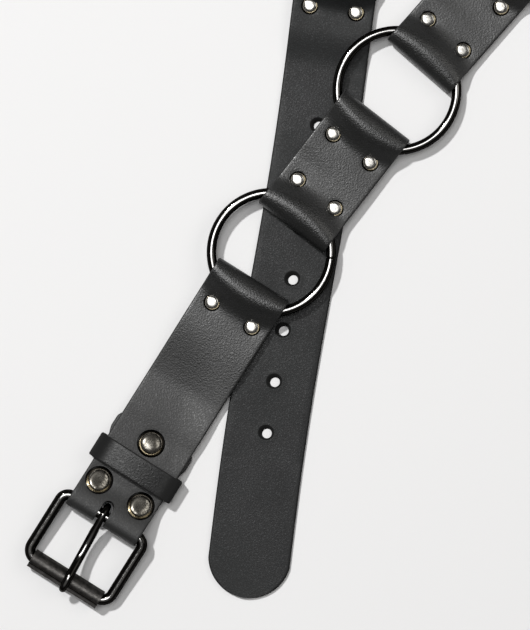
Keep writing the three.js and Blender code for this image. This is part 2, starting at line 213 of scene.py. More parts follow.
def make_metal(name, dark, light, smooth, rough, patch, scuff, edge_tint, sides=None):
    """A plated metal whose colour runs from dark to light and whose roughness from smooth to rough with its
    wear. Where sides is given, round wire gets a painted highlight and painted shade: the light colour only
    on its top band, where the piece's top-band mark is 1, and the dark sides colour round the rest."""
    material, tree, shader = new_material(name, Metallic=1.0, Specular_Tint=(*edge_tint, 1.0))
    wear = add_wear(tree, patch, scuff)
    colour = blend(tree, wear.outputs["Tone"], dark, light)
    if sides:
        # Painted highlight and shade: the light metal colour on the top band, the near-black sides colour
        # round the rest.
        colour = blend(tree, marked(tree, "painted_highlight"), sides, colour)
    roughness = remap(tree, wear.outputs["Scuffs"], To_Min=smooth, To_Max=rough)
    tree.links.new(colour, shader.inputs["Base Color"])
    tree.links.new(roughness, shader.inputs["Roughness"])
    return material


def smooth(t):
    """Smooth step from 0 to 1."""
    t = np.clip(t, 0.0, 1.0)
    return t * t * (3 - 2 * t)


def top_band_highlight_mark(points, path):
    """How far each point of a round wire lies in its top band, which gets the painted highlight: 1 where the
    way out from the wire's middle line is within 8 degrees of straight up, 0 beyond 20 degrees, and a smooth
    step between."""
    out = points - path
    up = out[..., 2] / np.maximum(np.linalg.norm(out, axis=-1), 1e-6)
    return smooth((up - highlight_band_from) / highlight_band_over)


# Gunmetal: a light top band as painted highlight, over near-black sides as painted shade.
gunmetal = make_metal(
    "gunmetal", (0.34, 0.335, 0.325), (0.58, 0.57, 0.555), 0.07, 0.15, patch=6.0, scuff=1.2,
    edge_tint=(0.1, 0.1, 0.1), sides=(0.022, 0.021, 0.0195),
)


def ring_points(k, around=180, sides=36):
    """A torus: the wire's circle carried round the ring's, with a narrow groove where the two ends meet."""
    if k == 0:
        seam = seam_angle_in_sight
    else:
        toward = ring_middles[min(k + 1, 7)] - ring_middles[k] if k < 7 else ring_middles[6] - ring_middles[7]
        seam = math.atan2(toward[1], toward[0])
    near = np.linspace(-3, 3, 13) * seam_half_width / ring_radius
    clear = 3.5 * seam_half_width / ring_radius
    far = np.linspace(clear, 2 * np.pi - clear, around)
    along = np.concatenate([near, far])[:, None] + seam
    off = (along - seam + np.pi) % (2 * np.pi) - np.pi
    wire = ring_wire / 2 - seam_depth * np.exp(-((off * ring_radius / seam_half_width) ** 2))
    turn = np.linspace(0, 2 * np.pi, sides, endpoint=False)[None, :]
    reach = ring_radius + wire * np.cos(turn)
    x = ring_middles[k][0] + reach * np.cos(along)
    y = ring_middles[k][1] + reach * np.sin(along)
    lift = lift_of_ring(k)(x, y)
    points = np.stack([x, y, ring_height + wire * np.sin(turn) + lift], axis=-1)
    middle_line = np.stack([
        ring_middles[k][0] + ring_radius * np.cos(along) + 0 * turn,
        ring_middles[k][1] + ring_radius * np.sin(along) + 0 * turn,
        ring_height + lift,
    ], axis=-1)
    return points, top_band_highlight_mark(points, middle_line)


# Each ring keeps the top-band mark for its painted highlight.
for k in range(8):
    points, painted_highlight = ring_points(k)
    faces = quads(*points.shape[:2], rows_closed=True, columns_closed=True)
    make_piece(f"ring_{k + 1}_skin", points, faces, gunmetal, marks={"painted_highlight": painted_highlight})

# Links
# Short strips of black leather, folded under a ring at each end, with the two ends of the strip tucked
# beneath and held by rivets. The face is finely grained and the cut edges are rounded and painted black.

strap_width = 38.0
leather = 2.0
layer_gap = 0.3
stack = 2 * leather + layer_gap
edge_round = 0.85
columns_across = 44
fold_edge = 14.5
fold_back_reach = 42.0
crest_past_edge = 5.3
crest_bow = 2.4
crest_height = 8.0
crest_hump = 0.7
crest_sharpness = 1.1
foot_past_ring = 13.6
foot_bow = 3.0
fall_ease = 1.5
taut_from = 7.2
taut_over = 1.6
rivet_row = 34.0
rivet_from_middle = 10.8
# The angle in each rivet size sets the side of the rim that gets the painted highlight.
small_rivet = {"radius": 3.5, "height": 2.0, "shoulder": 0.50, "painted_glint_side": math.radians(-35)}
large_rivet = {"radius": 5.6, "height": 3.0, "shoulder": 0.80, "painted_glint_side": math.radians(-115)}
dimple_depth = 0.22
top_layer_from = 2.0
top_layer_over = 0.6
bell_share = 0.6
bell_reach = 1.9
step_reach = 1.22


def strap_columns(count=columns_across, left_cut=True, right_cut=True):
    """Columns once round a strap's section, over its face from left to right and back underneath. share goes
    from 0 to 1 across the flat, out tells how far a column stands past its end, and up is the height from the
    middle of the leather. A cut edge is a quarter circle above and one below, and any other edge is
    square."""
    turn = np.linspace(0, np.pi / 2, 5)[:-1]
    left = turn if left_cut else turn[:0]
    right = turn[::-1] if right_cut else turn[:0]
    shoulder = leather / 2 - edge_round
    share = np.concatenate([0 * left, np.linspace(0, 1, count), 0 * right + 1])
    out = np.concatenate([-np.cos(left), np.zeros(count), np.cos(right)])
    up = np.concatenate([
        shoulder + edge_round * np.sin(left),
        np.full(count, leather / 2),
        shoulder + edge_round * np.sin(right),
    ])
    return {
        "share": np.concatenate([share, share[::-1]]),
        "out": np.concatenate([out, out[::-1]]),
        "up": np.concatenate([up, -up[::-1]]),
        "left": edge_round * left_cut,
        "right": edge_round * right_cut,
    }


def carry_strap(line, columns, left, right, nominal=(-strap_width / 2, strap_width / 2)):
    """A strap's surface: its section carried along a side-view line. line gives x and z for places across the
    strap, and each point stands up from the line along the line's own normal."""
    share, out, up = columns["share"], columns["out"], columns["up"]
    x, z = line((1 - share) * nominal[0] + share * nominal[1])
    along_x = np.gradient(x, axis=0)
    along_z = np.gradient(z, axis=0)
    length = np.hypot(along_x, along_z)
    y = (1 - share) * (left + columns["left"]) + share * (right - columns["right"]) + edge_round * out
    y = y + 0 * x
    return np.stack([x - up * along_z / length, y, z + up * along_x / length], axis=-1)


def strap_faces(rows, columns):
    """The faces round a strap and over its two ends, where the face's columns meet those beneath."""
    top = columns // 2
    k = np.arange(top - 1)
    end = np.stack([k, k + 1, columns - 2 - k, columns - 1 - k], axis=-1)
    return np.concatenate([quads(rows, columns, columns_closed=True), end, end + (rows - 1) * columns])


def ring_fold(y):
    """Side view of a strap end round a ring, x from the ring's middle. From the end of the fold-back:
    straight under the ring, a quarter circle up to the edge, a quarter of a narrow-crested superellipse over
    to the crest, which lies further in at the strap's middle, and a cosine, with its tail drawn out by a
    power, down past the wire to the top layer."""
    across = 1 - (2 * y / strap_width) ** 2
    crest = fold_edge + crest_past_edge + crest_bow * across
    top = crest_height + crest_hump * across
    foot = np.sqrt(ring_radius**2 - y**2) + foot_past_ring - foot_bow * across
    bend = 3.5
    straight = np.linspace(0, 1, 22)[:-1, None]
    turn = np.linspace(0, np.pi / 2, 11)[:, None]
    fall = np.linspace(0, 1, 26)[1:, None]
    x = [
        fold_back_reach + (fold_edge + leather / 2 + bend - fold_back_reach) * straight + 0 * y,
        fold_edge + leather / 2 + bend * (1 - np.sin(turn)) + 0 * y,
        crest - (crest - fold_edge - leather / 2) * np.cos(turn[1:]) ** crest_sharpness,
        crest + (foot - crest) * fall,
    ]
    z = [
        leather / 2 + 0 * straight + 0 * y,
        ring_height - bend * np.cos(turn) + 0 * y,
        ring_height + (top - ring_height) * np.sin(turn[1:]) ** crest_sharpness,
        stack - leather / 2 + (top - stack + leather / 2) * ((1 + np.cos(np.pi * fall)) / 2) ** fall_ease,
    ]
    return np.concatenate(x), np.concatenate(z)


def press_dimples(points, spots, radius):
    """The top layer is pulled down round each rivet: a wide shallow bell and a narrow step beside the cap."""
    upper = smooth((points[..., 2] - top_layer_from) / top_layer_over)
    for x, y in spots:
        distance = np.hypot(points[..., 0] - x, points[..., 1] - y) / radius
        bell = bell_share * np.exp(-((distance / bell_reach) ** 3))
        step = np.exp(-((distance / step_reach) ** 10))
        points[..., 2] -= upper * dimple_depth * (bell + step)


def lay(points, origin, heading, lift):
    """Turns points from a strap's own frame, x along its heading, to where it lies, and lifts them."""
    x = origin[0] + points[..., 0] * heading[0] - points[..., 1] * heading[1]
    y = origin[1] + points[..., 0] * heading[1] + points[..., 1] * heading[0]
    return np.stack([x, y, points[..., 2] + lift(x, y, points[..., 0])], axis=-1)


def make_leather_grain():
    """Leather grain: the height of small rounded pebbles with finer pits between them, the flecks that are
    worn shiny on them, and a slow cloudy change of tone."""
    group, given, result = effect_group(
        "leather_grain",
        {"Pebble size": "NodeSocketFloat", "Cloud size": "NodeSocketFloat"},
        {"Height": "NodeSocketFloat", "Flecks": "NodeSocketFloat", "Tone": "NodeSocketFloat"},
    )
    link = group.links.new
    pebble_size, cloud_size = given.outputs["Pebble size"], given.outputs["Cloud size"]
    pebbles = add_texture(
        group, "ShaderNodeTexVoronoi", pebble_size, {"Smoothness": 0.4}, feature="SMOOTH_F1",
    )
    pits = add_texture(group, "ShaderNodeTexNoise", pebble_size, {"Detail": 2.0, "Roughness": 0.7})
    height = add_node(group, "ShaderNodeMath", {1: -0.8}, operation="MULTIPLY_ADD")
    link(pebbles.outputs["Distance"], height.inputs[0])
    link(pits.outputs["Fac"], height.inputs[2])
    link(height.outputs[0], result.inputs["Height"])
    link(remap(group, pits.outputs["Fac"], From_Min=0.52, From_Max=0.62), result.inputs["Flecks"])
    slow = add_texture(
        group, "ShaderNodeTexNoise", cloud_size, {"Detail": 4.0, "Roughness": 0.6, "Distortion": 0.4},
    )
    link(remap(group, slow.outputs["Fac"], From_Min=0.34, From_Max=0.66), result.inputs["Tone"])
    return group


leather_grain = make_leather_grain()
# Black of the painted cut edges, also used as painted shadow on the rivet collars and as painted shade on the
# keeper's bends and towards the buckle.
edge_paint_and_shadow = (0.004, 0.004, 0.004)
edge_roughness = 1.0
taut_shine = 0.10
fleck_shine = 0.20


def make_leather(name, dark, light, smoothest, roughest, pebble, depth, cloud, **shader):
    """Dyed leather: grain as bump, worn flecks that are a little lighter and shine more, clouds of duller
    shine, a higher shine where the piece's taut mark is 1, and painted cut edges where its edge mark is 1.
    Where the same mark is set on the keeper's bends and towards the buckle on the buckle strap, it is painted
    shade: darker and duller."""
    material, tree, principled = new_material(name, **shader)
    link = tree.links.new
    sizes = {"Pebble size": pebble * MM, "Cloud size": cloud * MM}
    grain = add_node(tree, "ShaderNodeGroup", sizes, node_tree=leather_grain)
    flecks, edge_paint_and_shade = grain.outputs["Flecks"], marked(tree, "edge_paint_and_shade")
    # The edge mark paints the black of cut edges, and painted shade where it is set away from them.
    colour = blend(tree, edge_paint_and_shade, blend(tree, flecks, dark, light), edge_paint_and_shadow)
    link(colour, principled.inputs["Base Color"])
    shone = remap(tree, grain.outputs["Tone"], To_Min=smoothest, To_Max=roughest)
    for mark, shine in ((flecks, fleck_shine), (marked(tree, "taut"), taut_shine)):
        lowered = add_node(tree, "ShaderNodeMath", {1: -shine}, operation="MULTIPLY_ADD")
        link(mark, lowered.inputs[0])
        link(shone, lowered.inputs[2])
        shone = lowered.outputs[0]
    dulled = add_node(tree, "ShaderNodeMix", {3: edge_roughness})
    link(edge_paint_and_shade, dulled.inputs[0])
    link(shone, dulled.inputs[2])
    link(dulled.outputs[0], principled.inputs["Roughness"])
    bump = add_node(tree, "ShaderNodeBump", {"Strength": 1.0, "Distance": depth * MM})
    link(grain.outputs["Height"], bump.inputs["Height"])
    link(bump.outputs["Normal"], principled.inputs["Normal"])
    return material


link_leather = make_leather(
    "link_leather", (0.004, 0.0043, 0.0044), (0.012, 0.0123, 0.012), 0.42, 0.50, pebble=0.74, depth=0.10,
    cloud=20.0, Specular_IOR_Level=0.82,
)


def link_line(pitch):
    """Side view of a whole link: a fold at each end and the top layer between."""
    def line(y):
        x, z = ring_fold(y)
        level = np.linspace(0, 1, 64)[1:-1, None]
        foot = x[-1:]
        x_top = foot + (pitch - 2 * foot) * level
        z_top = 0 * x_top + z[-1:]
        return np.concatenate([x, x_top, pitch - x[::-1]]), np.concatenate([z, z_top, z[::-1]])
    return line


def taut_mark(points):
    """The mark that leather is drawn taut over the wire beneath: a smooth step by its height above the
    floor."""
    return smooth((points[..., 2] - taut_from) / taut_over)


def edge_mark(columns, rows):
    """The mark that a cut edge is painted: 1 on the columns of its round, 0 on the flats."""
    return np.broadcast_to(np.abs(columns["out"]) > 0.5, (rows, columns["out"].size)).astype(float)


def rivet_points(size, x, y, around=40):
    """A cap turned round its axis: a low dome, a steep side, a thin rolled rim and the collar round it, which
    is coloured black as painted shadow where the cap meets the leather."""
    radius, height = size["radius"], size["height"]
    turn = np.linspace(0, np.pi / 2, 16)
    dome_r = radius * 0.86 * np.sin(turn) ** size["shoulder"]
    dome_z = height * (0.42 + 0.58 * np.cos(turn) ** size["shoulder"])
    side = np.array([
        [0.87, 0.30], [0.88, 0.18], [0.92, 0.20], [0.96, 0.16], [0.985, 0.08], [1.0, 0.05], [1.10, 0.03],
        [1.16, -0.04], [1.10, -0.14], [0.0, -0.16],
    ])
    profile_r = np.concatenate([dome_r, radius * side[:, 0]])
    profile_z = np.concatenate([dome_z, height * side[:, 1]])
    turn = np.linspace(0, 2 * np.pi, around, endpoint=False)[None, :]
    ring_x = x + profile_r[:, None] * np.cos(turn)
    ring_y = y + profile_r[:, None] * np.sin(turn)
    return np.stack([ring_x, ring_y, profile_z[:, None] + stack + 0 * turn], axis=-1), profile_r / radius


def make_nickel(name, bright, dull, rim_glint, rim_shade, patch, smoothest, roughest, stained):
    """Aged nickel: bright metal with dull stains by its wear, and painted light on the rim: dark painted
    shade towards the rim by the piece's rim mark, a lighter brown-gold painted highlight on the side that the
    piece's side mark picks out, and a painted black shadow on the collar outside it."""
    material, tree, shader = new_material(name, Metallic=1.0)
    link = tree.links.new
    wear = add_wear(tree, patch, patch / 3)
    stain = add_node(tree, "ShaderNodeMath", {1: stained}, operation="MULTIPLY")
    link(wear.outputs["Scuffs"], stain.inputs[0])
    rim = marked(tree, "rim")
    cap = blend(tree, stain.outputs[0], bright, dull)
    # Painted light on the rim: dark painted shade, with a brown-gold painted highlight on one side.
    rim_glint_and_shade = blend(tree, marked(tree, "painted_glint_side"), rim_shade, rim_glint)
    cap_and_painted_rim = blend(tree, remap(tree, rim, From_Min=0.80, From_Max=0.92), cap, rim_glint_and_shade)
    # The black collar outside the rim is painted shadow round the cap.
    colour = blend(tree, remap(tree, rim, From_Min=1.0, From_Max=1.03), cap_and_painted_rim, edge_paint_and_shadow)
    link(colour, shader.inputs["Base Color"])
    roughness = remap(tree, wear.outputs["Scuffs"], To_Min=smoothest, To_Max=roughest)
    link(roughness, shader.inputs["Roughness"])
    return material


# The rim colours are painted light: the darker one painted shade, the brown-gold one a painted highlight on
# one side.
small_nickel = make_nickel(
    "small_nickel", bright=(0.54, 0.527, 0.495), dull=(0.16, 0.153, 0.14), rim_glint=(0.40, 0.34, 0.22),
    rim_shade=(0.045, 0.04, 0.032), patch=3.0, smoothest=0.14, roughest=0.26, stained=0.75,
)
large_nickel = make_nickel(
    "large_nickel", bright=(0.40, 0.378, 0.335), dull=(0.03, 0.027, 0.022), rim_glint=(0.36, 0.30, 0.19),
    rim_shade=(0.03, 0.026, 0.02), patch=2.6, smoothest=0.16, roughest=0.32, stained=1.0,
)


def make_rivets(node, first, size, material, spots, origin, heading, lift):
    """Rivets at spots along and across a strap, numbered from the first and laid with the strap, with a
    painted highlight on one side of their rims."""
    for number, (x, y) in enumerate(spots, first):
        points, rim = rivet_points(size, x, y)
        faces = quads(*points.shape[:2], columns_closed=True)
        points = lay(points, origin, heading, lift)
        aside = points[..., :2] - points[:1, :1, :2]
        turned = np.arctan2(aside[..., 1], aside[..., 0]) - size["painted_glint_side"]
        marks = {
            "rim": np.broadcast_to(rim[:, None], points.shape[:2]),
            # The side of the rim that gets the painted highlight.
            "painted_glint_side": smooth((np.cos(turned) + 0.1) / 0.7),
        }
        make_piece(f"{node}_{number}_skin", points, faces, material, marks=marks, crease=60)


for k, letter in enumerate("abcdefg"):
    start, end = ring_middles[k], ring_middles[k + 1]
    pitch = math.hypot(*(end - start)[:2])
    heading = (end - start)[:2] / pitch
    first_lift, last_lift = lift_of_ring(k), lift_of_ring(k + 1)

    def link_lift(x, y, along):
        """The first ring's lift turns into the last one's between the two fold-backs."""
        share = smooth((along - fold_back_reach) / (pitch - 2 * fold_back_reach))
        return np.maximum((1 - share) * first_lift(x, y) + share * last_lift(x, y), 0.0)

    columns = strap_columns()
    points = carry_strap(link_line(pitch), columns, -strap_width / 2, strap_width / 2)
    spots = [(x, side * rivet_from_middle) for x in (rivet_row, pitch - rivet_row) for side in (1, -1)]
    press_dimples(points, spots, small_rivet["radius"])
    marks = {"edge_paint_and_shade": edge_mark(columns, len(points)), "taut": taut_mark(points)}
    points = lay(points, start, heading, link_lift)
    faces = strap_faces(*points.shape[:2])
    make_piece(f"link_{letter}_skin", points, faces, link_leather, marks=marks)
    make_rivets(f"link_{letter}_rivet", 1, small_rivet, small_nickel, spots, start, heading, link_lift)

# Tail strap
# The long strap: folded round the last ring and riveted, it runs straight to a rounded tip, with a row of
# round punched holes for the tongue. Its face is smoother and darker than the links'.

tail_tip = 309.4
tail_tip_depth = 16.4
hole_radius = 3.0
hole_spacing = 24.05
hole_count = 7
last_hole_from_tip = 77.2
tail_sway = 1.2
tail_sway_end = 293.0
hole_cut_round = 0.45
hole_swell = 0.10
hole_swell_at = 0.9
hole_swell_width = 0.55
hole_taper = 1.0
hole_taper_width = 1.2
hole_slant = 0.75
tip_round_from = 1.5
past_fold_back = 2.0
step_down_end = 62.0

tail_origin = ring_middles[7]
tail_rivets_middle = (middle("tail_rivet_1") + middle("tail_rivet_2")) / 2
tail_heading = (tail_rivets_middle - tail_origin)[:2]
tail_heading = tail_heading / np.hypot(*tail_heading)
punch_lean = math.radians(130) - math.atan2(tail_heading[1], tail_heading[0])

tail_leather = make_leather(
    "tail_leather", (0.005, 0.0056, 0.0059), (0.013, 0.0142, 0.0148), 0.48, 0.60, pebble=0.70, depth=0.05,
    cloud=24.0, Specular_IOR_Level=0.34,
)


def tail_sway_at(x):
    """The tail lies in one gentle wave, to one side and then to the other."""
    t = (x - rivet_row) / (tail_sway_end - rivet_row)
    return np.where((t > 0) & (t < 1), tail_sway * np.sin(2 * np.pi * t), 0.0)


def no_lift(x, y, along):
    """Lies on the floor."""
    return 0 * x


def tail_start_line(end):
    """Side view from the fold-back round the ring to the top layer, and down from it to the floor."""
    def line(y):
        x, z = ring_fold(y)
        foot = x[-1:]
        level = np.linspace(0, 1, 34)[1:, None]
        x_top = foot + (end - foot) * level
        low, high = leather / 2, z[-1, 0]
        fall = x_top - fold_back_reach - past_fold_back
        z_top = high + (low - high) * smooth(fall / (step_down_end - fold_back_reach - past_fold_back))
        return np.concatenate([x, x_top]), np.concatenate([z, z_top])
    return line


def tail_tip_points(start, columns):
    """The last stretch: the section narrows to nothing along the tip's arc, close rows at the tip."""
    half = strap_width / 2
    radius = (half**2 + tail_tip_depth**2) / (2 * tail_tip_depth)
    shoulder = tail_tip - tail_tip_depth
    straight = np.linspace(start, shoulder, 26)[:-1]
    turn = np.linspace(math.asin(half / radius), 0, 40)
    arc = tail_tip - radius + radius * np.cos(turn)
    x = np.concatenate([straight, arc])
    width = np.concatenate([np.full(straight.size, half), radius * np.sin(turn)])[:, None]
    share, out, up = columns["share"], columns["out"], columns["up"]
    narrowing = np.clip(width / tip_round_from, 0.0, 1.0)
    inset = edge_round * narrowing
    y = (1 - share) * (inset - width) + share * (width - inset) + inset * out
    slope = np.gradient(x)[:, None] / np.hypot(np.gradient(x)[:, None], np.gradient(width[:, 0])[:, None])
    back = edge_round * (1 - np.abs(out)) * (1 - slope) * narrowing * (np.abs(out) > 0)
    return np.stack([x[:, None] - back + 0 * y, y, leather / 2 + up + 0 * y], axis=-1)


def punched_cell(centre, rows_along, columns):
    """A stretch of strap round one hole: rays from the hole's wall to the stretch's border, the same above
    and below, with the wall's rounded lips between. Returns points, faces and marks that paint the wall and
    lips black like the cut edges; this black also paints the shade inside the hole."""
    flat = columns["share"][np.abs(columns["up"]) >= leather / 2 - 1e-9]
    across = (strap_width / 2 - edge_round) * (2 * flat[: columns_across] - 1)
    half_y, half_x = across[-1], hole_spacing / 2
    along = np.linspace(-half_x, half_x, rows_along)
    border_x = np.concatenate([along[:-1], np.full(columns_across - 1, half_x), along[:0:-1],
                               np.full(columns_across - 1, -half_x)])
    border_y = np.concatenate([np.full(rows_along - 1, -half_y), across[:-1], np.full(rows_along - 1, half_y),
                               across[:0:-1]])
    angle = np.arctan2(border_y, border_x)
    lip = np.linspace(0, np.pi / 2, 5)
    wall_radius = hole_radius + hole_cut_round * (1 - np.sin(lip))
    wall_up = leather / 2 - hole_cut_round * (1 - np.cos(lip))
    spread = np.linspace(1, 0, 9)[:, None] ** 1.7
    lip_x = (hole_radius + hole_cut_round) * np.cos(angle)
    lip_y = (hole_radius + hole_cut_round) * np.sin(angle)
    face_x = lip_x + (border_x - lip_x) * spread
    face_y = lip_y + (border_y - lip_y) * spread
    from_wall = np.hypot(face_x, face_y) - hole_radius
    raised = hole_swell * np.exp(-(((from_wall - hole_swell_at) / hole_swell_width) ** 2))
    x = np.concatenate([face_x, wall_radius[1:, None] * np.cos(angle)])
    y = np.concatenate([face_y, wall_radius[1:, None] * np.sin(angle)])
    up = np.concatenate([leather / 2 + raised, wall_up[1:, None] + 0 * angle])
    mirrored = slice(None, None, -1)
    x, y = np.concatenate([x, x[mirrored]]), np.concatenate([y, y[mirrored]])
    up = np.concatenate([up, -up[mirrored]])
    reach = np.hypot(x, y)
    slanted = 1 + hole_slant * np.cos(np.arctan2(y, x) - punch_lean)
    fading = np.exp(-(((reach - hole_radius) / hole_taper_width) ** 2))
    inward = hole_taper * slanted * (1 - up / leather * 2) / 2 * fading
    x, y = x * (1 - inward / reach), y * (1 - inward / reach)
    points = np.stack([centre + x, y, leather / 2 + np.maximum(up, -leather / 2)], axis=-1)
    # The wall and lips are painted black like a cut edge, which also paints the shade inside the hole.
    painted = np.concatenate([np.zeros(len(spread) - 1), np.ones(lip.size)])
    marks = np.broadcast_to(np.concatenate([painted, painted[::-1]])[:, None], x.shape)
    return points, quads(*x.shape, columns_closed=True), marks


def tail_skin():
    """The whole tail: the stretch from the ring, one cell for each hole with its two long edges, and the
    tip."""
    columns = strap_columns()
    first_hole = tail_tip - last_hole_from_tip - (hole_count - 1) * hole_spacing
    cells_start = first_hole - hole_spacing / 2
    cells_end = cells_start + hole_count * hole_spacing
    parts = []

    def keep(points, faces, marks):
        parts.append((points.reshape(-1, 3), faces, marks.ravel()))

    start = carry_strap(tail_start_line(cells_start), columns, -strap_width / 2, strap_width / 2)
    spots = [(rivet_row, rivet_from_middle), (rivet_row, -rivet_from_middle)]
    press_dimples(start, spots, small_rivet["radius"])
    count = columns["out"].size
    faces = strap_faces(len(start), count)[: -(count // 2 - 1)]
    keep(start, faces, edge_mark(columns, len(start)))
    rows_along = 15
    rim = np.abs(columns["out"]) > 0
    left = np.flatnonzero(rim & (columns["share"] < 0.5))
    right = np.flatnonzero(rim & (columns["share"] > 0.5))
    flats = np.flatnonzero(~rim)
    top_left, top_right = flats[0], flats[columns_across - 1]
    bottom_right, bottom_left = flats[columns_across], flats[-1]
    left_strip = np.concatenate([[bottom_left], left[left > bottom_left], left[left < top_left], [top_left]])
    right_strip = np.concatenate([[top_right], right, [bottom_right]])
    for n in range(hole_count):
        centre = first_hole + n * hole_spacing
        keep(*punched_cell(centre, rows_along, columns))
        x = np.linspace(centre - hole_spacing / 2, centre + hole_spacing / 2, rows_along)[:, None]
        for strip in (left_strip, right_strip):
            share, out, up = columns["share"][strip], columns["out"][strip], columns["up"][strip]
            y = (strap_width / 2 - edge_round) * (2 * share - 1) + edge_round * out
            points = np.stack([x + 0 * y, y + 0 * x, leather / 2 + up + 0 * x], axis=-1)
            painted = np.broadcast_to(np.abs(out) > 0.5, points.shape[:2]).astype(float)
            keep(points, quads(*points.shape[:2]), painted)
    tip = tail_tip_points(cells_end, columns)
    faces = strap_faces(len(tip), count)
    faces = np.concatenate([faces[: (len(tip) - 1) * count], faces[-(count // 2 - 1):]])
    keep(tip, faces, edge_mark(columns, len(tip)))
    offsets = np.cumsum([0] + [len(points) for points, _, _ in parts])
    points = np.concatenate([points for points, _, _ in parts])
    faces = np.concatenate([faces + offset for (_, faces, _), offset in zip(parts, offsets)])
    points[:, 1] += tail_sway_at(points[:, 0])
    return points, faces, np.concatenate([marks for _, _, marks in parts]), spots


points, faces, painted, spots = tail_skin()
points = lay(points, tail_origin, tail_heading, no_lift)
make_piece("tail_strap_skin", points, faces, tail_leather, marks={"edge_paint_and_shade": painted})
make_rivets("tail_rivet", 1, small_rivet, small_nickel, spots, tail_origin, tail_heading, no_lift)

# Buckle strap
# The strap from the first ring to the buckle: a single layer in its middle, folded back and riveted at both
# ends. At the buckle the fold has a slot for the tongue, and the end of the fold-back is cut wider than the
# strap. Towards the buckle the face is painted darker and duller, as painted shade.

single_rivet_at = 104.3
rivet_pair_at = 131.2
large_from_middle = 11.3
fold_back_end = 96.5
keeper_leather = 1.4
rise_start = 98.0
rise_end = 110.5
bar_at = 144.0
bar_bend = 3.7
climb_start = 127.5
slot_reach = 7.1
slot_half_width = 2.7
slot_middle = -1.2
narrow_half = 18.8
narrow_from = 116.0
narrow_over = 12.0
drape_width = 22.0
drape_margin = 1.5
# Towards the buckle the face gets painted shade: darker and duller through the edge mark.
shade_dull = 0.35
shade_dull_from = 52.0
shade_dull_over = 50.0
sag_from = 44.0
sag_over = 36.0
sag_end = 94.5
sag_end_over = 22.0
ring_lift_over = 46.0
strap_rows = {"middle": 96, "climb": 30, "round": 22, "back": 60}
rows_before_climb = 26
tail_lift = leather + layer_gap

joints = {joint["name"]: np.array(joint["pos_m"]) / MM for joint in frame["joints"]}
bar_middle = joints["tongue_pivot"]
roller_middle = joints["roller_spin"]
buckle_origin = ring_middles[0]
buckle_heading = (bar_middle - buckle_origin)[:2]
buckle_heading = buckle_heading / np.hypot(*buckle_heading)


def tail_drape(x, y):
    """1 over the tail strap, easing to 0 beside it."""
    from_ring = np.stack([x - tail_origin[0], y - tail_origin[1]], axis=-1)
    along = from_ring @ tail_heading
    aside = from_ring @ np.array([-tail_heading[1], tail_heading[0]])
    outside = np.abs(aside - tail_sway_at(along)) - strap_width / 2 - drape_margin
    return smooth(1 - outside / drape_width)


def buckle_strap_lift(x, y, along):
    """Lifted by the first ring, by the tail underneath and, towards the buckle, by the keeper's lower
    side."""
    on_ring = 1 - smooth((along - fold_back_reach - past_fold_back) / ring_lift_over)
    raised = keeper_leather + layer_gap
    over_tail = tail_lift * (1 - (1 - on_ring) * (1 - tail_drape(x, y)))
    return over_tail + raised * smooth((along - rise_start) / (rise_end - rise_start))


def climb_rise(x):
    """Height by which the top layer stands above the flat at a place along the strap: a half cosine wave up
    to the top of the bar."""
    top = bar_middle[2] - keeper_leather - layer_gap + bar_bend
    climb = np.clip((x - climb_start) / (bar_at - climb_start), 0, 1)
    return (top - stack + leather / 2) * (1 - np.cos(np.pi * climb)) / 2


def buckle_strap_line(y):
    """Side view: the fold at the ring, the single layer that sags to the floor, the top layer up to the bar,
    half a circle round the bar, and straight back underneath."""
    x, z = ring_fold(y)
    flat, level = stack - leather / 2, leather / 2
    run = np.linspace(0, 1, strap_rows["middle"] + 1)[1:, None]
    x_run = x[-1:] + (climb_start - x[-1:]) * run
    sag = smooth((x_run - sag_from) / sag_over) * smooth((sag_end - x_run) / sag_end_over)
    climb = np.linspace(0, 1, strap_rows["climb"] + 1)[1:, None]
    x_climb = climb_start + (bar_at - climb_start) * climb + 0 * y
    z_climb = flat + climb_rise(x_climb)
    turn = np.linspace(0, np.pi, strap_rows["round"] + 1)[1:, None]
    top = flat + climb_rise(bar_at)
    x_round = bar_at + bar_bend * np.sin(turn) + 0 * y
    z_round = (top + level) / 2 + (top - level) / 2 * np.cos(turn) + 0 * y
    back = np.linspace(0, 1, strap_rows["back"] + 1)[1:, None]
    x_back = bar_at + (fold_back_end - bar_at) * back + 0 * y
    return (
        np.concatenate([x, x_run, x_climb, x_round, x_back]),
        np.concatenate([z, flat - (flat - level) * sag, z_climb, z_round, level + 0 * x_back]),
    )


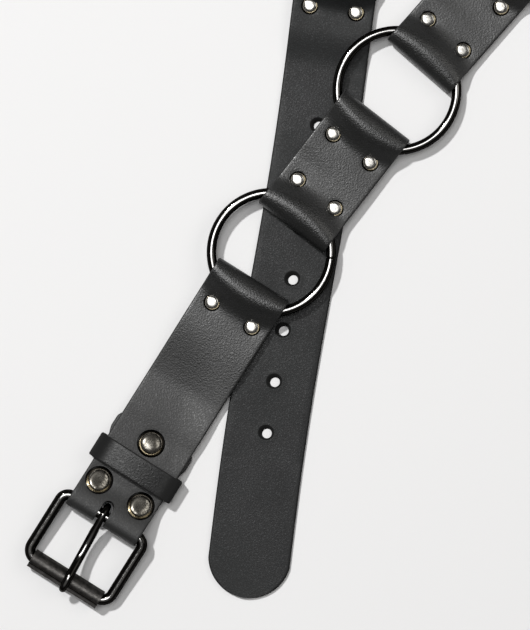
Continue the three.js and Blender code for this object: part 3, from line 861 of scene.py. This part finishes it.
def buckle_strap_skin():
    """Two strips side by side that meet in one line, except along the slot, where each has a wall of its own.
    The slot's half width follows a half circle at each end."""
    centre_x, _ = buckle_strap_line(np.array([0.0]))
    centre_x = centre_x[:, 0]
    total = len(centre_x)
    before_bar = total - strap_rows["back"] - strap_rows["round"]
    near_buckle = np.arange(total) >= before_bar - strap_rows["climb"] - rows_before_climb
    narrowed = (narrow_half - strap_width / 2) * smooth((centre_x - narrow_from) / narrow_over)
    half = np.where(near_buckle, strap_width / 2 + narrowed, strap_width / 2)
    cut_x = [fold_back_end, 96.8, 97.4, 98.2, 99.6, 101.5, 107.0, 111.5]
    cut_half = [8.0, 11.5, 14.6, 17.0, 19.3, 20.2, 20.2, narrow_half]
    behind = np.arange(total) >= total - strap_rows["back"]
    half = np.where(behind, np.interp(centre_x, cut_x, cut_half), half)[:, None]
    into_slot = centre_x - (bar_at - slot_reach)
    rounded = np.sqrt(np.clip(slot_half_width**2 - (slot_half_width - into_slot) ** 2, 0, None))
    slot = np.where(into_slot > slot_half_width, slot_half_width, np.where(into_slot > 0, rounded, 0.0))
    slot = np.where(near_buckle | behind, slot, 0.0)[:, None]
    strips = []
    for left_cut, right_cut, left, right, nominal in (
        (True, False, -half, slot_middle - slot, (-strap_width / 2, slot_middle)),
        (False, True, slot_middle + slot, half, (slot_middle, strap_width / 2)),
    ):
        columns = strap_columns(columns_across // 2, left_cut, right_cut)
        points = carry_strap(buckle_strap_line, columns, left, right, nominal)
        count = columns["out"].size
        faces = strap_faces(total, count)
        wall = count // 2 - 1 if left_cut else count - 1
        beyond = (wall + 1) % count
        on_wall = (np.isin(faces % count, [wall, beyond])).all(axis=1)
        row_open = slot[:, 0] > 0
        closed_here = on_wall & ~row_open[faces // count].any(axis=1)
        strips.append((points, faces[~closed_here], edge_mark(columns, total)))
    return strips


strips = buckle_strap_skin()
small_spots = [(rivet_row, rivet_from_middle), (rivet_row, -rivet_from_middle)]
large_spots = [
    (single_rivet_at, 0.0), (rivet_pair_at, large_from_middle), (rivet_pair_at, -large_from_middle),
]
laid, faces_kept, painted, taut = [], [], [], []
offset = 0
for points, faces, marks in strips:
    press_dimples(points, small_spots, small_rivet["radius"])
    press_dimples(points, large_spots, large_rivet["radius"])
    laid.append(lay(points, buckle_origin, buckle_heading, buckle_strap_lift).reshape(-1, 3))
    faces_kept.append(faces + offset)
    # Painted shade towards the buckle, added to the edge mark.
    painted.append(np.maximum(marks, shade_dull * smooth((points[..., 0] - shade_dull_from) / shade_dull_over)).ravel())
    taut.append((taut_mark(points) * (points[..., 0] < fold_back_reach)).ravel())
    offset += len(laid[-1])
make_piece(
    "buckle_strap_skin", np.concatenate(laid), np.concatenate(faces_kept), link_leather,
    marks={"edge_paint_and_shade": np.concatenate(painted), "taut": np.concatenate(taut)},
)
make_rivets(
    "buckle_strap_small_rivet", 1, small_rivet, small_nickel, small_spots, buckle_origin, buckle_heading,
    buckle_strap_lift,
)
make_rivets(
    "buckle_strap_large_rivet", 3, large_rivet, large_nickel, large_spots, buckle_origin, buckle_heading,
    lambda x, y, along: buckle_strap_lift(x, y, along) + climb_rise(along),
)

# Keeper
# A narrow loop of thinner leather round both layers of the buckle strap, a little arched on top. Its ends are
# joined out of sight on the lower side.

keeper_at = 117.6
keeper_width = 11.8
keeper_half = 21.3
keeper_arch = 2.2
keeper_top = 7.9
keeper_corner = 2.0
# The keeper's bends are darkened and dulled through the edge mark, as painted shade.
bend_shade = 0.96
bend_shade_from = 12.5
bend_shade_over = 5.5

keeper_leather_finish = make_leather(
    "keeper_leather", (0.004, 0.0043, 0.0044), (0.012, 0.0123, 0.012), 0.40, 0.46, pebble=0.85, depth=0.08,
    cloud=16.0, Specular_IOR_Level=0.45,
)


def keeper_path():
    """The loop seen along the strap: straight below, rounded corners, upright sides and a top arched as a
    parabola. Returns the places across and up, once round."""
    turn = np.linspace(0, np.pi / 2, 9)
    inner = keeper_half - keeper_corner
    low = keeper_leather / 2 + keeper_corner
    high = keeper_top - keeper_corner
    flat = np.linspace(-1, 1, 33)[1:-1]
    sine, cosine = keeper_corner * np.sin(turn), keeper_corner * np.cos(turn)
    y = np.concatenate([
        inner * flat, inner + sine, inner + cosine, -inner * flat, -inner - sine, -inner - cosine,
    ])
    z = np.concatenate([
        low - keeper_corner + 0 * flat, low - cosine, high + sine,
        keeper_top + 0 * flat, high + cosine, low - sine,
    ])
    arch = keeper_arch * (1 - (y / keeper_half) ** 2) * smooth((z - high) / keeper_corner)
    return y, z + arch


def keeper_skin():
    """A rounded rectangle, as wide as the keeper and as thick as its leather, carried round the loop. Its
    bends are painted dark and dull like its edges, as painted shade."""
    y, z = keeper_path()
    forward_y = np.roll(y, -1) - np.roll(y, 1)
    forward_z = np.roll(z, -1) - np.roll(z, 1)
    length = np.hypot(forward_y, forward_z)
    out_y, out_z = forward_z / length, -forward_y / length
    columns = strap_columns(13)
    thin = keeper_leather / leather
    across = (1 - columns["share"]) * (edge_round - keeper_width / 2) + columns["share"] * (
        keeper_width / 2 - edge_round) + edge_round * columns["out"]
    up = columns["up"] * thin
    x = keeper_at + across[None, :] + 0 * y[:, None]
    points = np.stack([x, y[:, None] + up * out_y[:, None], z[:, None] + up * out_z[:, None]], axis=-1)
    # Painted shade on the bends, added to the edge mark.
    shaded_bends = bend_shade * smooth((np.abs(y) - bend_shade_from) / bend_shade_over)
    painted = np.maximum(edge_mark(columns, len(points)), shaded_bends[:, None])
    return points, quads(*points.shape[:2], rows_closed=True, columns_closed=True), painted


points, faces, painted = keeper_skin()
points = lay(points, buckle_origin, buckle_heading, no_lift)
make_piece("keeper_skin", points, faces, keeper_leather_finish, marks={"edge_paint_and_shade": painted})

# Buckle frame
# A rounded oblong bent from round wire and plated gunmetal. Its rear bar lies in the fold of the strap, and
# the front bar carries the roller.

buckle_wire = 5.0
bar_half_span = 21.9
bar_to_roller = float(np.linalg.norm(roller_middle - bar_middle))
bar_corner = 4.2
roller_corner = 5.2

buckle_forward = (roller_middle - bar_middle) / bar_to_roller
buckle_left = np.array([-buckle_heading[1], buckle_heading[0], 0.0])
buckle_up = np.cross(buckle_forward, buckle_left)


def in_buckle(points):
    """Turns points from the buckle's own frame, x from the rear bar to the roller, to where it lies."""
    x, y, z = points[..., :1], points[..., 1:2], points[..., 2:]
    return bar_middle + x * buckle_forward + y * buckle_left + z * buckle_up


def rounded_oblong(per_side=26, per_corner=14):
    """The frame's middle line once round: four straight sides joined by quarter circles."""
    spans = [
        (0.0, -1, bar_corner, 180), (bar_to_roller, -1, roller_corner, 270),
        (bar_to_roller, 1, roller_corner, 0), (0.0, 1, bar_corner, 90),
    ]
    corners = []
    for x, side, radius, first in spans:
        turn = np.radians(np.linspace(first, first + 90, per_corner))
        centre_x = x + (radius if x == 0.0 else -radius)
        centre_y = side * (bar_half_span - radius)
        arc = [centre_x + radius * np.cos(turn), centre_y + radius * np.sin(turn)]
        corners.append(np.stack(arc, axis=-1))
    path = []
    for n, corner in enumerate(corners):
        following = corners[(n + 1) % 4][0]
        share = np.linspace(0, 1, per_side + 1)[1:-1, None]
        path += [corner, corner[-1] + (following - corner[-1]) * share]
    return np.concatenate(path)


def sweep(path, radius, normal, closed=False, sides=36):
    """A round bar: a circle of the given radius carried along a path that lies in the plane of the normal."""
    ahead = np.roll(path, -1, axis=0) - np.roll(path, 1, axis=0) if closed else np.gradient(path, axis=0)
    ahead = ahead / np.linalg.norm(ahead, axis=1, keepdims=True)
    beside = np.cross(normal, ahead)
    turn = np.linspace(0, 2 * np.pi, sides, endpoint=False)
    spoke = beside[:, None, :] * np.cos(turn)[None, :, None] + normal * np.sin(turn)[None, :, None]
    return path[:, None, :] + np.reshape(radius, (-1, 1, 1)) * spoke


outline = rounded_oblong()
path = np.column_stack([outline, np.zeros(len(outline))])
points = sweep(path, np.full(len(path), buckle_wire / 2), np.array([0.0, 0.0, 1.0]), closed=True)
# The frame keeps the top-band mark for its painted highlight.
painted_highlight = top_band_highlight_mark(points, path[:, None])
faces = quads(*points.shape[:2], rows_closed=True, columns_closed=True)
make_piece("buckle_frame_skin", in_buckle(points), faces, gunmetal, marks={"painted_highlight": painted_highlight})

# Buckle roller
# A strip of dark steel sheet rolled into a tube round the front bar, with an open seam along it. Its ends
# stand out over the frame's corners and are scuffed.

roller_radius = 4.5
roller_bore = 3.6
roller_length = 37.2
roller_seam = math.radians(62)
roller_seam_half_gap = 0.22
roller_lip = 0.16
roller_flare = 0.10
roller_flare_reach = 0.8

roller_steel = make_metal(
    "roller_steel", (0.045, 0.043, 0.041), (0.11, 0.105, 0.10), 0.26, 0.50, patch=2.2, scuff=0.9,
    edge_tint=(0.3, 0.3, 0.3),
)


def roller_points(around=60, rows=61):
    """A tube that isn't quite closed: the wall's outline goes round outside from one lip of the seam to the
    other and back inside, and it flares a little at both ends."""
    gap_angle = roller_seam_half_gap / roller_radius
    turn = roller_seam + np.linspace(gap_angle, 2 * np.pi - gap_angle, around)
    across = roller_length / 2 * np.sin(np.linspace(-np.pi / 2, np.pi / 2, rows))[:, None]
    from_end = roller_length / 2 - np.abs(across)
    flare = roller_flare * np.exp(-from_end / roller_flare_reach)
    eased = roller_lip * (1 - np.sqrt(np.clip(1 - (1 - np.clip(from_end / roller_lip, 0, 1)) ** 2, 0, 1)))
    outer = roller_radius + flare - eased + 0 * turn
    inner = roller_bore + flare + eased + 0 * turn
    radius = np.concatenate([outer, inner[:, ::-1]], axis=1)
    angle = np.concatenate([turn, turn[::-1]])
    x = bar_to_roller + radius * np.cos(angle)
    z = radius * np.sin(angle)
    return np.stack([x, across + 0 * radius, z], axis=-1)


points = roller_points()
make_piece(
    "buckle_roller_skin", in_buckle(points), strap_faces(*points.shape[:2]), roller_steel,
    body="roller", crease=35,
)

# Buckle tongue
# A gunmetal wire hooked round the rear bar, inside the fold, and bent so that it dips in the window and rests
# on the roller. It comes out of the strap's slot and points a little to one side.

tongue_radius = 1.95
eye_wire_radius = 1.6
eye_radius = 4.4
tongue_skew = math.radians(3.5)
thin_run = 22.0
thicker_over = 5.0
point_thinning = 0.35
point_run = 8.0
ball_run = 1.4
tongue_over_roller = roller_radius + 0.3 + tongue_radius


def smooth_path(points, per_span=8):
    """A smooth line through points: between two of them a cubic whose slopes come from the neighbours."""
    slopes = np.gradient(points, axis=0)
    t = np.linspace(0, 1, per_span, endpoint=False)[None, :, None]
    start, end = points[:-1, None], points[1:, None]
    leaving, arriving = slopes[:-1, None], slopes[1:, None]
    spans = (
        (2 * t**3 - 3 * t**2 + 1) * start + (t**3 - 2 * t**2 + t) * leaving
        + (3 * t**2 - 2 * t**3) * end + (t**3 - t**2) * arriving
    )
    return np.concatenate([spans.reshape(-1, points.shape[1]), points[-1:]])


def tongue_points():
    """The wire swept along its bent line, thinner in the eye, and closed by a half ball at each end."""
    eye_turn = np.radians(np.linspace(-35, -270, 12))
    eye = np.column_stack([eye_radius * np.cos(eye_turn), eye_radius * np.sin(eye_turn)])
    shank = np.array([
        [4.7, 3.3], [9.5, 2.2], [14.5, 1.7], [19.5, 2.1], [24.0, 3.3], [28.2, 5.1],
        [31.8, tongue_over_roller], [bar_to_roller + 2.3, tongue_over_roller - 0.15],
        [bar_to_roller + 5.3, tongue_over_roller - 2.2],
    ])
    line = smooth_path(np.concatenate([eye, shank]))
    run = np.concatenate([[0], np.cumsum(np.hypot(*np.diff(line, axis=0).T))])
    thicker = smooth((run - thin_run) / thicker_over)
    radius = eye_wire_radius + (tongue_radius - eye_wire_radius) * thicker
    radius = radius - point_thinning * smooth((run - run[-1] + point_run) / point_run)
    for end in (run, run[-1] - run):
        radius = radius * np.sqrt(np.clip(1 - (1 - np.clip(end / ball_run, 0, 1)) ** 2, 0, 1))
    path = np.column_stack([line[:, 0], np.zeros(len(line)), line[:, 1]])
    points = sweep(path, radius, np.array([0.0, 1.0, 0.0]))
    # The tongue keeps the top-band mark for its painted highlight.
    painted_highlight = top_band_highlight_mark(points, path[:, None])
    x = points[..., 0] * math.cos(tongue_skew) - points[..., 1] * math.sin(tongue_skew)
    y = points[..., 0] * math.sin(tongue_skew) + points[..., 1] * math.cos(tongue_skew) + slot_middle
    return np.stack([x, y, points[..., 2]], axis=-1), painted_highlight


points, painted_highlight = tongue_points()
make_piece(
    "buckle_tongue_skin", in_buckle(points), quads(*points.shape[:2], columns_closed=True), gunmetal,
    body="tongue", marks={"painted_highlight": painted_highlight}, crease=60,
)

# Floor, light and view
# The belt lies on a pale floor and is seen from straight above. A bright light to the upper left casts the
# shadows, and a broad one almost overhead and a low one on the right give the gloss.

view_middle = np.array([-47.79, -114.39])
view_height = 291.9
camera_distance = 2.0
sensor = 36.0
floor_half = 3.0

floor_mesh = bpy.data.meshes.new("floor")
floor_mesh.from_pydata(
    [(-floor_half, -floor_half, 0), (floor_half, -floor_half, 0), (floor_half, floor_half, 0),
     (-floor_half, floor_half, 0)],
    [], [(0, 1, 2, 3)],
)
floor = bpy.data.objects.new("floor", floor_mesh)
bpy.context.scene.collection.objects.link(floor)
floor_finish, _, _ = new_material(
    "floor_finish", Base_Color=(0.80, 0.80, 0.805, 1.0), Roughness=0.9, Specular_IOR_Level=0.1,
)
floor_mesh.materials.append(floor_finish)


def add_light(name, azimuth, tilt, distance, size, power, colour):
    """A round light that looks at the middle of the view, tilted by some degrees from straight above."""
    azimuth, tilt = math.radians(azimuth), math.radians(tilt)
    light = bpy.data.lights.new(name, "AREA")
    light.shape = "DISK"
    light.size = size
    light.energy = power
    light.color = colour
    lamp = bpy.data.objects.new(name, light)
    bpy.context.scene.collection.objects.link(lamp)
    side = distance * math.sin(tilt)
    lamp.location = (
        view_middle[0] * MM + side * math.cos(azimuth),
        view_middle[1] * MM + side * math.sin(azimuth),
        distance * math.cos(tilt),
    )
    lamp.rotation_euler = (0, tilt, azimuth)


add_light("key_light", 130, 36, 4.0, 0.26, 126.0, (1.0, 0.995, 0.985))
add_light("soft_light", 130, 10, 3.0, 1.6, 26.0, (1.0, 1.0, 1.0))
add_light("side_light", 20, 46, 3.0, 1.8, 11.0, (1.0, 0.98, 0.94))

world = bpy.data.worlds.new("studio")
world.use_nodes = True
world.node_tree.nodes["Background"].inputs["Color"].default_value = (1.0, 0.975, 0.95, 1.0)
world.node_tree.nodes["Background"].inputs["Strength"].default_value = 0.11
bpy.context.scene.world = world
bpy.context.scene.view_settings.view_transform = "Standard"

camera = bpy.data.cameras.new("camera")
camera.sensor_fit = "VERTICAL"
camera.sensor_height = sensor
camera.lens = sensor * camera_distance / (view_height * MM)
camera_object = bpy.data.objects.new("camera", camera)
camera_object.location = (view_middle[0] * MM, view_middle[1] * MM, camera_distance)
bpy.context.scene.collection.objects.link(camera_object)
bpy.context.scene.camera = camera_object
